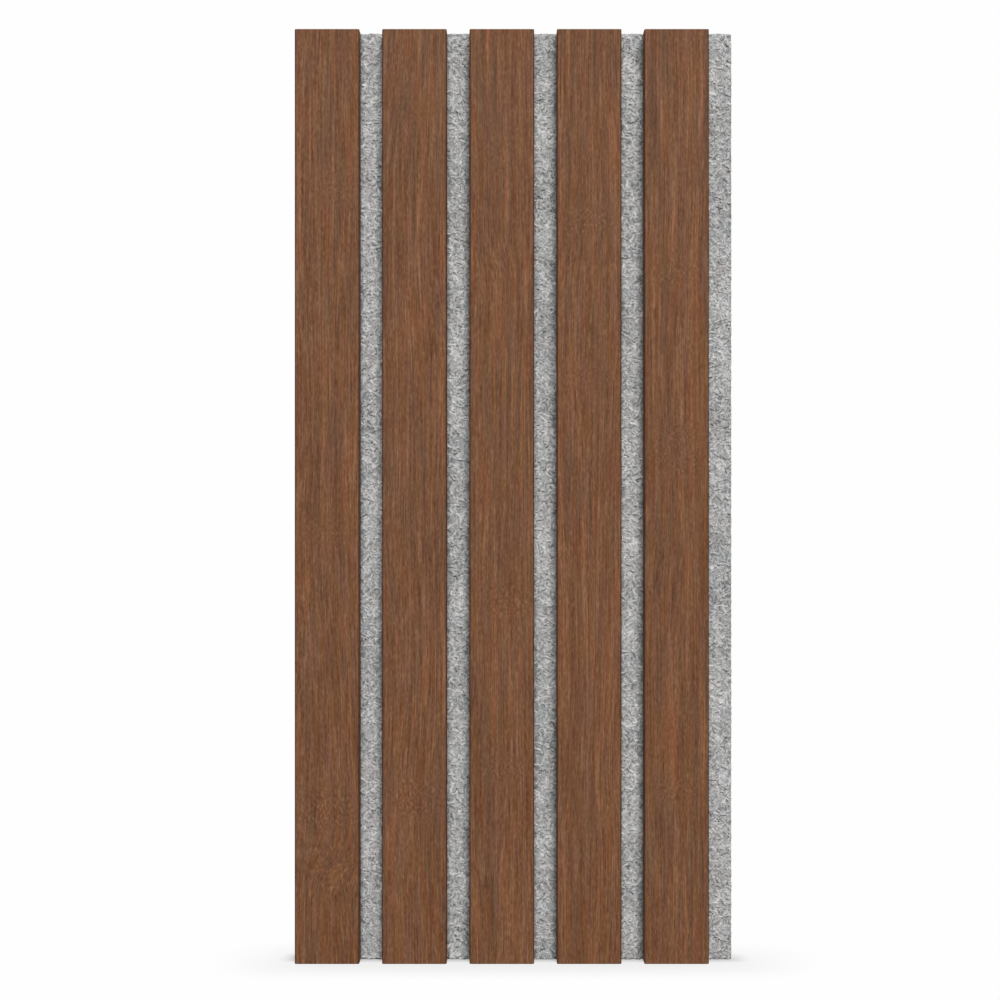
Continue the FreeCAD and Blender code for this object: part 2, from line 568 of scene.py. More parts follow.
@dataclass(frozen=True)
class SawnFibreboard(MattFinish):
    """Medium-density fibreboard, where the saw has cut through a slat's core.

    Pressed wood flour shows as an even warm brown with a fine fleck and no grain.
    """

    name: str = "fibreboard_sawn"
    roughness: float = 0.9
    specular: float = 0.5
    relief_depth: float = 0.1
    relief_share: float = 0.4
    dark: str = "#7C5C3E"
    light: str = "#B08C64"
    fleck: float = 0.6
    fleck_detail: float = 3.0
    fleck_roughness: float = 0.7
    fleck_levels: tuple[float, float] = (0.3, 0.7)

    def material(self) -> bpy.types.Material:
        """Make the sawn core.

        Returns:
            The material.
        """
        material, node, place = self.start()
        fleck = node("TexNoise", place, 1 / self.fleck, self.fleck_detail, self.fleck_roughness)
        share = node("MapRange", fleck, *self.fleck_levels)
        colour = node("Mix", share, linear(self.dark), linear(self.light), data_type="RGBA")
        self.close(node, colour, fleck)
        return material


@dataclass(frozen=True)
class PolyesterFelt(MattFinish):
    """Needle-punched polyester felt, pressed from grey and white staple fibre.

    The needles leave short curly bundles of fibre, light on top and dark between, with
    no gloss at all. The greys aren't blended evenly and show as soft clouds. Each loose
    fibre carries its own tone in an attribute, and the sheet carries its painted shade
    in the same attribute. The bundles drift in shares of their size, and levels are in
    a pattern's own values.
    """

    name: str = "polyester_felt_needle_punched"
    roughness: float = 1.0
    specular: float = 0.1
    relief_depth: float = 0.3
    relief_share: float = 0.2
    dark: str = "#686969"
    light: str = "#E6E6E5"
    cool: str = "#9AA6A8"
    warm: str = "#ACA4A2"
    tone_attribute: str = "fibre_tone"
    tone: float = 0.41
    bundle: float = 3.0
    bundle_levels: tuple[float, float] = (0.0, 0.09)
    bundle_weight: float = 0.20
    drift_size: float = 1.3
    drift_reach: float = 1.5
    fibre: float = 1.3
    fibre_weight: float = 0.76
    cloud: float = 22.0
    cloud_detail: float = 1.5
    cloud_weight: float = 0.46
    patch: float = 9.0
    patch_detail: float = 1.0
    patch_weight: float = 0.25
    cool_levels: tuple[float, float] = (0.55, 0.75)
    warm_levels: tuple[float, float] = (0.45, 0.25)

    def material(self) -> bpy.types.Material:
        """Make the felt, for its sheet and its loose fibres alike.

        Returns:
            The material.
        """
        material, node, place = self.start()
        drift_scale = 1 / (self.bundle * self.drift_size)
        drift = node("TexNoise", place, drift_scale, 0.0, output="Color")
        reach = (self.bundle * self.drift_reach,) * 3
        drift = node("VectorMath MULTIPLY_ADD", drift, reach, place)

        # A bundle runs along each line where its noise passes its middle value.
        bundles = node("TexNoise", drift, 1 / self.bundle, 0.0)
        away = node("Math SUBTRACT", bundles, MIDDLE)
        away = node("Math ABSOLUTE", away)
        ridge = node("MapRange", away, *self.bundle_levels, 0.5, -0.5)
        tone = node("Math MULTIPLY_ADD", ridge, self.bundle_weight, self.tone)
        for start, size, detail, weight in (
            (drift, self.fibre, 0.0, self.fibre_weight),
            (place, self.cloud, self.cloud_detail, self.cloud_weight),
        ):
            pattern = node("TexNoise", start, 1 / size, detail)
            pattern = node("Math SUBTRACT", pattern, MIDDLE)
            tone = node("Math MULTIPLY_ADD", pattern, weight, tone)
        # Each loose fibre's own tone, and on the sheet the painted shade beside the slats and
        # round the staples.
        own = node("Attribute", output="Fac", attribute_name=self.tone_attribute)
        tone = node("Math ADD", tone, own)
        colour = node("Mix", tone, linear(self.dark), linear(self.light), data_type="RGBA")
        patch = node("TexNoise", place, 1 / self.patch, self.patch_detail)
        for tint, levels in ((self.cool, self.cool_levels), (self.warm, self.warm_levels)):
            colour, _ = tinted(node, colour, tint, patch, levels, self.patch_weight)
        self.close(node, colour, tone)
        return material


@dataclass(frozen=True)
class GalvanisedWire(Finish):
    """Flat staple wire with a zinc coat, drawn through a die.

    The zinc is a bright blue-grey, and the die leaves fine streaks along the wire, which
    show in its colour and its gloss.
    """

    name: str = "galvanised_staple_wire"
    dull: str = "#B6BABD"
    bright: str = "#E8EAEC"
    roughness: tuple[float, float] = (0.25, 0.5)
    streak_width: float = 0.12
    streak_length: float = 3.0

    def material(self) -> bpy.types.Material:
        """Make the zinc, streaked along the crowns.

        Returns:
            The material.
        """
        material, node, place = self.start()
        squeeze = (1 / self.streak_length, 1 / self.streak_width, 1 / self.streak_width)
        squeezed = node("VectorMath MULTIPLY", place, squeeze)
        streak = node("TexNoise", squeezed, 1.0)
        colour = node("Mix", streak, linear(self.dull), linear(self.bright), data_type="RGBA")
        rough = node("MapRange", streak, 0.0, 1.0, *self.roughness)
        node("OutputMaterial", node("BsdfPrincipled", colour, Metallic=1.0, Roughness=rough))
        return material


def start_tree(
    name: str, sizes: Mapping[str, Given], on_mesh: bool = False
) -> tuple[bpy.types.NodeTree, partial, dict[str, Socket]]:
    """Start a geometry tree with a named input for each size.

    Args:
        name: The tree's name.
        sizes: The inputs' names with their values, whose types the inputs take.
        on_mesh: Whether the tree starts from the piece's own mesh.

    Returns:
        The tree, the function that adds a node to it, and its inputs by name.
    """
    tree = bpy.data.node_groups.new(name, "GeometryNodeTree")
    kinds = {float: "NodeSocketFloat", int: "NodeSocketInt", tuple: "NodeSocketVector"}
    asked = {label: kinds[type(value)] for label, value in sizes.items()}
    if on_mesh:
        asked = {"Mesh": "NodeSocketGeometry"} | asked
    for label, kind in asked.items():
        tree.interface.new_socket(label, in_out="INPUT", socket_type=kind)
    tree.interface.new_socket("Piece", in_out="OUTPUT", socket_type="NodeSocketGeometry")
    given = tree.nodes.new("NodeGroupInput").outputs
    return tree, partial(add, tree), {label: given[label] for label in asked}


def end_tree(node: partial, shape: Socket, *coats: tuple[bpy.types.Material, Given]) -> None:
    """End a geometry tree: plain geometry, dressed in its materials.

    Args:
        node: The function that adds a node.
        shape: What the tree has made.
        coats: Each material, with the faces that take it or None for all of them.
    """
    shape = node("RealizeInstances", shape)
    for material, faces in coats:
        shape = node("SetMaterial", shape, faces, material)
    node("GroupOutput", shape)


def grow(
    name: str,
    tree: bpy.types.NodeTree,
    sizes: Mapping[str, Given],
    start: bpy.types.Mesh | None = None,
) -> bpy.types.Object:
    """Run a geometry tree and keep what it makes as a plain mesh.

    Args:
        name: The piece's name.
        tree: The tree to run.
        sizes: The value of each of its inputs.
        start: The mesh that the tree starts from, if it does.

    Returns:
        The piece, at the origin.
    """
    piece = bpy.data.objects.new(name, start.copy() if start else bpy.data.meshes.new(name))
    bpy.context.scene.collection.objects.link(piece)
    modifier = piece.modifiers.new("Grow", "NODES")
    modifier.node_group = tree
    identifiers = {item.name: item.identifier for item in tree.interface.items_tree}
    for label, value in sizes.items():
        modifier[identifiers[label]] = value
    graph = bpy.context.evaluated_depsgraph_get()
    mesh = bpy.data.meshes.new_from_object(
        piece.evaluated_get(graph), preserve_all_data_layers=True, depsgraph=graph
    )
    piece.modifiers.remove(modifier)
    piece.data = mesh
    mesh.name = name
    return piece


@dataclass
class Assembly(ABC):
    """Pieces of the panel that are built together on its layout."""

    layout: PanelLayout
    pieces: list[bpy.types.Object] = field(default_factory=list, init=False)

    @abstractmethod
    def build(self) -> None:
        """Grow the pieces and put them in place."""

    def report(self) -> None:
        """Log each piece with its count of triangles."""
        for piece in self.pieces:
            triangles = sum(len(face.vertices) - 2 for face in piece.data.polygons)
            LOG.info("%s: %s, %d triangles", type(self).__name__, piece.name, triangles)


@dataclass
class SlatRow(Assembly):
    """The slats: fibreboard bars wrapped in veneer, with round front edges."""

    veneer: bpy.types.Material
    core: bpy.types.Material
    arris_radius: float = 0.7 * MM
    end_ease: float = 0.4 * MM
    veneer_thickness: float = 0.6 * MM
    arris_steps: int = 5
    ease_steps: int = 3
    sharp_angle: float = math.radians(40)

    def sizes(self, number: int) -> dict[str, Given]:
        """Give the tree's inputs for one slat.

        Args:
            number: The slat's number, counted from 1.

        Returns:
            The inputs' values by name.
        """
        layout = self.layout
        deep = (layout.front + layout.seam) / 2
        return {
            "Middle": (layout.slat_middle(number), deep, layout.height / 2),
            "Width": layout.slat_width,
            "Thickness": layout.seam - layout.front,
            "Height": layout.height,
            "Arris Radius": self.arris_radius,
            "Arris Steps": self.arris_steps,
            "End Ease": self.end_ease,
            "Ease Steps": self.ease_steps,
            "Veneer Thickness": self.veneer_thickness,
        }

    def tree(self) -> bpy.types.NodeTree:
        """Make the tree for one slat.

        A section with two round corners is swept up the slat. Its ends are drawn in on
        a quarter arc, and the veneer's ring is set off on each sawn end.

        Returns:
            The tree.
        """
        tree, node, given = start_tree("wrapped_slat", self.sizes(1))
        ease = given["End Ease"]
        section = node("CurvePrimitiveQuadrilateral", given["Width"], given["Thickness"])
        place = node("InputPosition")
        deep = node("SeparateXYZ", place, output="Y")
        in_front = node("Math LESS_THAN", deep, 0.0)
        radius = node("Math MULTIPLY", in_front, given["Arris Radius"])
        rounding = {"Count": given["Arris Steps"], "Radius": radius}
        section = node("FilletCurve", section, **rounding, mode="POLY")

        # Stations along the slat crowd into the eased length at each end.
        last = node("Math MULTIPLY_ADD", given["Ease Steps"], 2.0, 1.0)
        count = node("Math ADD", last, 1.0)
        line = node("CurvePrimitiveLine", (0.0, 0.0, 0.0), (0.0, 0.0, 1.0))
        line = node("ResampleCurve", line, Count=count)
        station = node("InputIndex")
        from_top = node("Math SUBTRACT", last, station)
        step = node("Math MINIMUM", station, from_top)
        turn = node("Math DIVIDE", step, given["Ease Steps"])
        turn = node("Math MULTIPLY", turn, math.pi / 2)
        rise = node("Math COSINE", turn)
        rise = node("Math SUBTRACT", 1.0, rise)
        rise = node("Math MULTIPLY", rise, ease)
        half = node("Math MULTIPLY", given["Height"], 0.5)
        reach = node("Math SUBTRACT", half, rise)
        upper = node("Math GREATER_THAN", station, from_top)
        side = node("Math MULTIPLY_ADD", upper, 2.0, -1.0)
        level = node("Math MULTIPLY", reach, side)
        level = node("CombineXYZ", 0.0, 0.0, level)
        line = node("SetPosition", line, Position=level)
        bar = node("CurveToMesh", line, section, Fill_Caps=True)

        # The quarter arc at each end: how far it draws the section in at this height.
        height = node("SeparateXYZ", place, output="Z")
        height = node("Math ABSOLUTE", height)
        past = node("Math SUBTRACT", half, ease)
        past = node("Math SUBTRACT", height, past)
        past = node("Math MAXIMUM", past, 0.0)
        past = node("Math DIVIDE", past, ease)
        arc = node("Math POWER", past, 2.0)
        arc = node("Math SUBTRACT", 1.0, arc)
        arc = node("Math MAXIMUM", arc, 0.0)
        arc = node("Math SQRT", arc)
        inset = node("Math SUBTRACT", 1.0, arc)
        inset = node("Math MULTIPLY", inset, ease)
        drawn_in = self.drawn_in(node, given, place, inset)
        bar = node("SetPosition", bar, Position=drawn_in)

        # The sawn ends, the only faces with more than four corners, get a face of core.
        corners = node("InputMeshFaceNeighbors", output="Vertex Count")
        is_end = node("Math GREATER_THAN", corners, 4.0)
        bar = node("ExtrudeMesh", bar, is_end, Offset_Scale=0.0, Individual=True, mode="FACES")
        core_face = bar.node.outputs["Top"]
        drawn_in = self.drawn_in(node, given, place, given["Veneer Thickness"])
        bar = node("SetPosition", bar, core_face, drawn_in)
        bar = node("SetPosition", bar, Offset=given["Middle"])
        angle = node("InputMeshEdgeAngle", output="Unsigned Angle")
        sharp = node("Math GREATER_THAN", angle, self.sharp_angle)
        bar = node("SetShadeSmooth", bar)
        bar = node("SetShadeSmooth", bar, sharp, False, domain="EDGE")
        end_tree(node, bar, (self.veneer, None), (self.core, core_face))
        return tree

    @staticmethod
    def drawn_in(
        node: partial, given: Mapping[str, Socket], place: Socket, inset: Socket
    ) -> Socket:
        """Draw a point of the section in towards its middle by the same depth all round.

        Args:
            node: The function that adds a node.
            given: The tree's inputs.
            place: The point.
            inset: The depth.

        Returns:
            The point's new place.
        """
        section = node("CombineXYZ", given["Width"], given["Thickness"], 1.0)
        inset = node("CombineXYZ", inset, inset)
        share = node("VectorMath DIVIDE", inset, section)
        both_sides, whole = (-2.0, -2.0, 0.0), (1.0, 1.0, 1.0)
        kept = node("VectorMath MULTIPLY_ADD", share, both_sides, whole)
        return node("VectorMath MULTIPLY", place, kept)

    def build(self) -> None:
        """Grow each slat and put it in place of its solid."""
        tree = self.tree()
        for number in range(1, self.layout.slat_count + 1):
            piece = grow(f"wrapped_slat_{number}", tree, self.sizes(number))
            shading = piece.modifiers.new("Even shading", "WEIGHTED_NORMAL")
            shading.keep_sharp = True
            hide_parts(f"slat_{number}")
            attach(piece, "root")
            self.pieces.append(piece)


@dataclass
class StapleRows(Assembly):
    """The staples: flat wire bent into a crown and two legs, four up each slat."""

    wire: bpy.types.Material
    per_slat: int = 4
    margin: float = 34 * MM
    crown: float = 12.8 * MM
    wire_thickness: float = 0.7 * MM
    wire_width: float = 0.95 * MM
    bend_radius: float = 1.1 * MM
    point_length: float = 1.3 * MM
    point_width: float = 0.4
    bend_steps: int = 5
    edge_share: float = 0.2
    edge_steps: int = 2

    @property
    def row_pitch(self) -> float:
        """Give the distance from one row of staples to the next."""
        return (self.layout.height - 2 * self.margin) / (self.per_slat - 1)

    def sizes(self) -> dict[str, Given]:
        """Give the tree's inputs, with the legs' ends read from the construction.

        Returns:
            The inputs' values by name.
        """
        low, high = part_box("staples")
        across = (self.layout.slat_count - 1) * self.layout.pitch
        middle = self.layout.slat_middle(1) + across / 2
        crown_middle = high.y - self.wire_thickness / 2
        return {
            "Middle": (middle, crown_middle, self.layout.height / 2),
            "Across": across,
            "Up": (self.per_slat - 1) * self.row_pitch,
            "Columns": self.layout.slat_count,
            "Rows": self.per_slat,
            "Half Crown": (self.crown - self.wire_thickness) / 2,
            "Leg": high.y - low.y - self.wire_thickness / 2,
            "Point": self.point_length,
            "Point Width": self.point_width,
            "Bend Radius": self.bend_radius,
            "Bend Steps": self.bend_steps,
            "Wire Thickness": self.wire_thickness,
            "Wire Width": self.wire_width,
            "Edge Radius": self.wire_thickness * self.edge_share,
            "Edge Steps": self.edge_steps,
        }

    def tree(self) -> bpy.types.NodeTree:
        """Make the tree: one bent wire, set out over the back of every slat.

        Returns:
            The tree.
        """
        tree, node, given = start_tree("staple_rows", self.sizes())
        # Six points: a tip, the start of its point and a corner, and the same back.
        count = 6
        line = node("CurvePrimitiveLine", (0.0, 0.0, 0.0), (1.0, 0.0, 0.0))
        line = node("ResampleCurve", line, Count=count)
        number = node("Math SUBTRACT", node("InputIndex"), (count - 1) / 2)
        side = node("Math SIGN", number)
        rank = node("Math ABSOLUTE", number)
        on_leg = node("Math GREATER_THAN", rank, 1.0)
        at_tip = node("Math GREATER_THAN", rank, 2.0)
        across = node("Math MULTIPLY", side, given["Half Crown"])
        shank = node("Math SUBTRACT", given["Point"], given["Leg"])
        deep = node("Math MULTIPLY", on_leg, shank)
        tip = node("Math MULTIPLY", at_tip, given["Point"])
        deep = node("Math SUBTRACT", deep, tip)
        corner = node("CombineXYZ", across, deep)
        line = node("SetPosition", line, Position=corner)
        taper = node("Math SUBTRACT", given["Point Width"], 1.0)
        taper = node("Math MULTIPLY_ADD", at_tip, taper, 1.0)
        line = node("SetCurveRadius", line, Radius=taper)
        bend = {"Count": given["Bend Steps"], "Radius": given["Bend Radius"]}
        line = node("FilletCurve", line, **bend, Limit_Radius=True, mode="POLY")
        line = node("SetCurveNormal", line, mode="Z_UP")
        sides = (given["Wire Thickness"], given["Wire Width"])
        section = node("CurvePrimitiveQuadrilateral", *sides)
        rounding = {"Count": given["Edge Steps"], "Radius": given["Edge Radius"]}
        section = node("FilletCurve", section, **rounding, mode="POLY")
        tapered = node("InputRadius")
        staple = node("CurveToMesh", line, section, Scale=tapered, Fill_Caps=True)

        spread = (given["Across"], given["Up"], given["Columns"], given["Rows"])
        places = node("MeshGrid", *spread)
        places = node("Transform", places, Rotation=(math.pi / 2, 0.0, 0.0))
        places = node("SetPosition", places, Offset=given["Middle"])
        rows = node("InstanceOnPoints", places, Instance=staple)
        end_tree(node, rows, (self.wire, None))
        return tree

    def build(self) -> None:
        """Grow all the staples and put them in place of their solids."""
        piece = grow("bent_wire_staples", self.tree(), self.sizes())
        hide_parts("staples")
        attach(piece, "root")
        self.pieces.append(piece)


@dataclass
class FeltSheet(Assembly):
    """The felt: one cut sheet, lumpy as pressed fibre is, and drawn in at its staples."""

    staples: StapleRows
    felt: bpy.types.Material
    finish: PolyesterFelt
    cell: float = 1.6 * MM
    edge_rounding: float = 0.4 * MM
    lump_size: float = 4.0 * MM
    lump_depth: float = 0.35 * MM
    lump_detail: float = 2.0
    dimple_reach: float = 3.2 * MM
    dimple_depth: float = 0.55 * MM
    # How far the painted shade beside the slats and staples reaches, and how much it darkens the
    # felt's tone.
    painted_shade_reach: float = 2.2 * MM
    pressed_tone: float = -0.18
    broad_normal: float = 0.5
    nothing_near: float = 1.0
    distance_attribute: str = "from_pressed"

    def sizes(self) -> dict[str, Given]:
        """Give the tree's inputs, with the sheet's box read from the construction.

        Returns:
            The inputs' values by name.
        """
        low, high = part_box("felt_backing")
        across, deep, up = (round(side / self.cell) + 1 for side in high - low)
        return {
            "Low": tuple(low),
            "High": tuple(high),
            "Points Across": across,
            "Points Deep": deep,
            "Points Up": up,
            "Edge Rounding": self.edge_rounding,
            "Lump Size": self.lump_size,
            "Lump Depth": self.lump_depth,
            "Lump Detail": self.lump_detail,
            "First Staple": (self.layout.slat_middle(1), 0.0, self.staples.margin),
            "Slat Pitch": self.layout.pitch,
            "Row Pitch": self.staples.row_pitch,
            "Crown": self.staples.crown,
            "Dimple Reach": self.dimple_reach,
            "Dimple Depth": self.dimple_depth,
            "Slat Width": self.layout.slat_width,
            "Last Slat": self.layout.slat_count - 1,
            "Painted Shade Reach": self.painted_shade_reach,
            "Painted Shade Tone": self.pressed_tone,
        }

    def tree(self) -> bpy.types.NodeTree:
        """Make the tree: a fine block with soft edges, pressed in by lumps and staples.

        Returns:
            The tree.
        """
        tree, node, given = start_tree("felt_sheet", self.sizes())
        low, high, edge = given["Low"], given["High"], given["Edge Rounding"]
        size = node("VectorMath SUBTRACT", high, low)
        points = (given["Points Across"], given["Points Deep"], given["Points Up"])
        block = node("MeshCube", size, *points)
        middle = node("VectorMath ADD", high, low)
        middle = node("VectorMath SCALE", middle, 0.5)
        block = node("SetPosition", block, Offset=middle)
        place = node("InputPosition")
        rounding = node("CombineXYZ", edge, edge, edge)
        inner = node("VectorMath MAXIMUM", place, node("VectorMath ADD", low, rounding))
        inner = node("VectorMath MINIMUM", inner, node("VectorMath SUBTRACT", high, rounding))
        out = node("VectorMath SUBTRACT", place, inner)
        out = node("VectorMath NORMALIZE", out)
        out = node("VectorMath MULTIPLY_ADD", out, rounding, inner)
        block = node("SetPosition", block, Position=out)

        # The knife leaves the rim flat, so the lumps are on the two broad sides.
        normal = node("InputNormal")
        facing = node("SeparateXYZ", normal, output="Y")
        broad = node("Math ABSOLUTE", facing)
        fineness = node("Math DIVIDE", 1.0, given["Lump Size"])
        lumps = node("TexNoise", place, fineness, given["Lump Detail"])
        press = node("Math MULTIPLY", lumps, given["Lump Depth"])
        press = node("Math MULTIPLY", press, broad)

        # Each staple draws the back in round its crown.
        at_back = node("Math GREATER_THAN", facing, self.broad_normal)
        from_slat, above = self.from_staple(node, given, place)
        half_crown = node("Math MULTIPLY", given["Crown"], 0.5)
        aside = node("Math SUBTRACT", from_slat, half_crown)
        aside = node("Math MAXIMUM", aside, 0.0)
        away = node("CombineXYZ", aside, above)
        far = node("VectorMath LENGTH", away)
        levels = (given["Dimple Reach"], 0.0, 0.0, given["Dimple Depth"])
        dimple = node("MapRange", far, *levels, interpolation_type="SMOOTHSTEP")
        press = node("Math MULTIPLY_ADD", dimple, at_back, press)
        press = node("Math MULTIPLY", press, -1.0)
        inward = node("VectorMath SCALE", normal, press)
        block = node("SetPosition", block, Offset=inward)

        # Painted shade: the felt's tone is darkened in the corners beside the slats and in the
        # dimples round the staples.
        half_slat = node("Math MULTIPLY", given["Slat Width"], 0.5)
        beside = node("Math SUBTRACT", from_slat, half_slat)
        in_front = node("Math LESS_THAN", facing, -self.broad_normal)
        distance: Socket | float = self.nothing_near
        for on_side, found in ((in_front, beside), (at_back, far)):
            nearer = node("Math SUBTRACT", found, self.nothing_near)
            distance = node("Math MULTIPLY_ADD", nearer, on_side, distance)
        levels = (given["Painted Shade Reach"], 0.0, 0.0, given["Painted Shade Tone"])
        tone = node("MapRange", distance, *levels)
        for label, value in (
            (self.distance_attribute, distance),
            (self.finish.tone_attribute, tone),
        ):
            block = node("StoreNamedAttribute", block, Name=label, Value=value)
        end_tree(node, node("SetShadeSmooth", block), (self.felt, None))
        return tree

    @staticmethod
    def from_staple(
        node: partial, given: Mapping[str, Socket], place: Socket
    ) -> tuple[Socket, Socket]:
        """Measure how far a point lies from the nearest slat's middle and staple.

        Args:
            node: The function that adds a node.
            given: The tree's inputs.
            place: The point.

        Returns:
            Its distance across from the slat's middle, and up or down from the staple.
        """
        away = node("VectorMath SUBTRACT", place, given["First Staple"])
        parts = node("SeparateXYZ", away).node.outputs
        slat = node("Math DIVIDE", parts["X"], given["Slat Pitch"])
        slat = node("Math ROUND", slat)
        slat = node("Math MINIMUM", slat, given["Last Slat"])
        slat = node("Math MULTIPLY", slat, given["Slat Pitch"])
        from_slat = node("Math SUBTRACT", parts["X"], slat)
        half_row = node("Math MULTIPLY", given["Row Pitch"], 0.5)
        above = node("Math PINGPONG", parts["Z"], half_row)
        return node("Math ABSOLUTE", from_slat), above

    def build(self) -> None:
        """Grow the sheet and put it in place of its solid."""
        piece = grow("cut_felt_sheet", self.tree(), self.sizes())
        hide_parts("felt_backing")
        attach(piece, "root")
        self.pieces.append(piece)

    def declare(self, rests_on: list[bpy.types.Object], fibres: list[bpy.types.Object]) -> None:
        """Do nothing: the sheet's size and what it lies on are not declared here.

        Args:
            rests_on: The slats that it is stapled to; not used.
            fibres: The loose fibres on it; not used.
        """


@dataclass(frozen=True)
class FibreCover:
    """How loose fibres lie on one side of the felt."""

    name: str
    side: FeltSide
    per_square_mm: float
    lift: float
    seed: int


@dataclass
class LooseFibres(Assembly):
    """The curly fibre bundles that needling leaves on the felt's surface.

    They are cut a little proud of the sheet, each in its own plane of a thin layer.
    """

    sheet: FeltSheet
    felt: bpy.types.Material
    finish: PolyesterFelt
    covers: tuple[FibreCover, ...] = (
        FibreCover("felt_fibres_in_gaps", FeltSide.ROOM, 0.28, -0.35 * MM, 3),
        FibreCover("felt_fibres_on_rim", FeltSide.RIM, 0.24, -0.60 * MM, 5),
        FibreCover("felt_fibres_on_back", FeltSide.WALL, 0.08, -0.35 * MM, 7),
    )
    length: float = 2.5 * MM
    length_shares: tuple[float, float] = (0.6, 1.2)
    radius: float = 0.74 * MM
    tones: tuple[float, float] = (0.04, 0.28)
    seeds: tuple[float, float] = (0.0, 100.0)
    rise: float = 0.25 * MM
    rim_proud: float = 0.08 * MM
    layer: float = 0.06 * MM
    curl: float = 4.0 * MM
    curl_size: float = 2.6 * MM
    points: int = 4
    sides: int = 4
    margin: float = 1.2 * MM

    def sizes(self, cover: FibreCover) -> dict[str, Given]:
        """Give the tree's inputs for one side.

        Args:
            cover: The side, with its density and seed.

        Returns:
            The inputs' values by name.
        """
        low, high = cover.side.value
        layout, proud = self.layout, self.rim_proud
        return {
            "Low": (layout.left - proud, layout.seam - self.rise, 0.0),
            "High": (layout.right + proud, layout.back + self.rise, layout.height + proud),
            "Layer": self.layer,
            "Normal From": low,
            "Normal To": high,
            "Density": cover.per_square_mm / MM**2,
            "Seed": cover.seed,
            "Margin": self.margin,
            "Length": self.length,
            "Radius": self.radius,
            "Lift": cover.lift,
            "Curl": self.curl,
            "Curl Size": self.curl_size,
            "Points": self.points,
            "Sides": self.sides,
        }

    def tree(self) -> bpy.types.NodeTree:
        """Make the tree: short curly strands strewn over the bare part of one side.

        Returns:
            The tree.
        """
        sizes = self.sizes(self.covers[0])
        tree, node, given = start_tree("loose_fibres", sizes, on_mesh=True)
        seed = given["Seed"]
        roots = self.roots(node, given)

        # Each root gets a short line, turned at random in the felt's surface.
        line = node("CurvePrimitiveLine", (-0.5, 0.0, 0.0), (0.5, 0.0, 0.0))
        line = node("ResampleCurve", line, Count=given["Points"])
        turn = node("RandomValue", Max=2 * math.pi, Seed=seed)
        turn = node("AxisAngleToRotation", (0.0, 0.0, 1.0), turn)
        root_turn = node("InputNamedAttribute", "strand_turn", data_type="QUATERNION")
        turn = node("RotateRotation", root_turn, turn, rotation_space="LOCAL")
        scale = node("RandomValue", *self.length_shares, Seed=seed)
        scale = node("Math MULTIPLY", scale, given["Length"])
        strands = node("InstanceOnPoints", roots, Instance=line, Rotation=turn, Scale=scale)
        number = node("InputIndex")
        for label, span in (
            (self.finish.tone_attribute, self.tones),
            ("strand_seed", self.seeds),
            ("strand_depth", (0.0, 1.0)),
        ):
            value = node("RandomValue", *span, ID=number, Seed=seed)
            stored = {"Name": label, "Value": value}
            strands = node("StoreNamedAttribute", strands, **stored, domain="INSTANCE")
        strands = node("RealizeInstances", strands)

        # A strand curls in the felt's surface and lies a little above it.
        place = node("InputPosition")
        own = node("InputNamedAttribute", "strand_seed")
        depth = node("InputNamedAttribute", "strand_depth")
        out = node("InputNamedAttribute", "strand_out", data_type="FLOAT_VECTOR")
        fineness = node("Math DIVIDE", 1.0, given["Curl Size"])
        curl = node("TexNoise", place, own, fineness, 0.0, output="Color", noise_dimensions="4D")
        curl = node("VectorMath SUBTRACT", curl, (MIDDLE,) * 3)
        curl = node("VectorMath SCALE", curl, given["Curl"])
        rise = node("VectorMath DOT_PRODUCT", curl, out)
        lift = node("Math MULTIPLY", depth, given["Lift"])
        rise = node("Math SUBTRACT", lift, rise)
        rise = node("VectorMath SCALE", out, rise)
        move = node("VectorMath ADD", curl, rise)
        strands = node("SetPosition", strands, Offset=move)
        section = node("CurvePrimitiveCircle", given["Sides"], Radius=given["Radius"])
        strands = node("CurveToMesh", strands, section, Fill_Caps=True)

        # The knife cut the strands along the rim too, and no two end in quite one plane.
        layer = node("Math MULTIPLY", depth, given["Layer"])
        layer = node("CombineXYZ", layer, layer, layer)
        low = node("VectorMath ADD", given["Low"], layer)
        high = node("VectorMath SUBTRACT", given["High"], layer)
        within = node("VectorMath MAXIMUM", place, low)
        within = node("VectorMath MINIMUM", within, high)
        strands = node("SetPosition", strands, Position=within)
        end_tree(node, node("SetShadeSmooth", strands), (self.felt, None))
        return tree

    def roots(self, node: partial, given: Mapping[str, Socket]) -> Socket:
        """Strew the roots of the strands, with none where a slat or staple presses.

        Args:
            node: The function that adds a node.
            given: The tree's inputs.

        Returns:
            The roots, each with the way out of the felt and its turn.
        """
        facing = node("SeparateXYZ", node("InputNormal"), output="Y")
        after = node("Math GREATER_THAN", facing, given["Normal From"])
        before = node("Math LESS_THAN", facing, given["Normal To"])
        on_side = node("Math MULTIPLY", after, before)
        strewn = {label: given[label] for label in ("Mesh", "Density", "Seed")}
        roots = node("DistributePointsOnFaces", Selection=on_side, **strewn)
        found = roots.node.outputs
        for label, value, kind in (
            ("strand_out", found["Normal"], "FLOAT_VECTOR"),
            ("strand_turn", found["Rotation"], "QUATERNION"),
        ):
            roots = node("StoreNamedAttribute", roots, Name=label, Value=value, data_type=kind)
        distance = node("InputNamedAttribute", self.sheet.distance_attribute)
        pressed = node("Math LESS_THAN", distance, given["Margin"])
        return node("DeleteGeometry", roots, pressed)

    def build(self) -> None:
        """Grow the fibres of each side."""
        tree = self.tree()
        for cover in self.covers:
            piece = grow(cover.name, tree, self.sizes(cover), self.sheet.pieces[0].data)
            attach(piece, "root")
            self.pieces.append(piece)


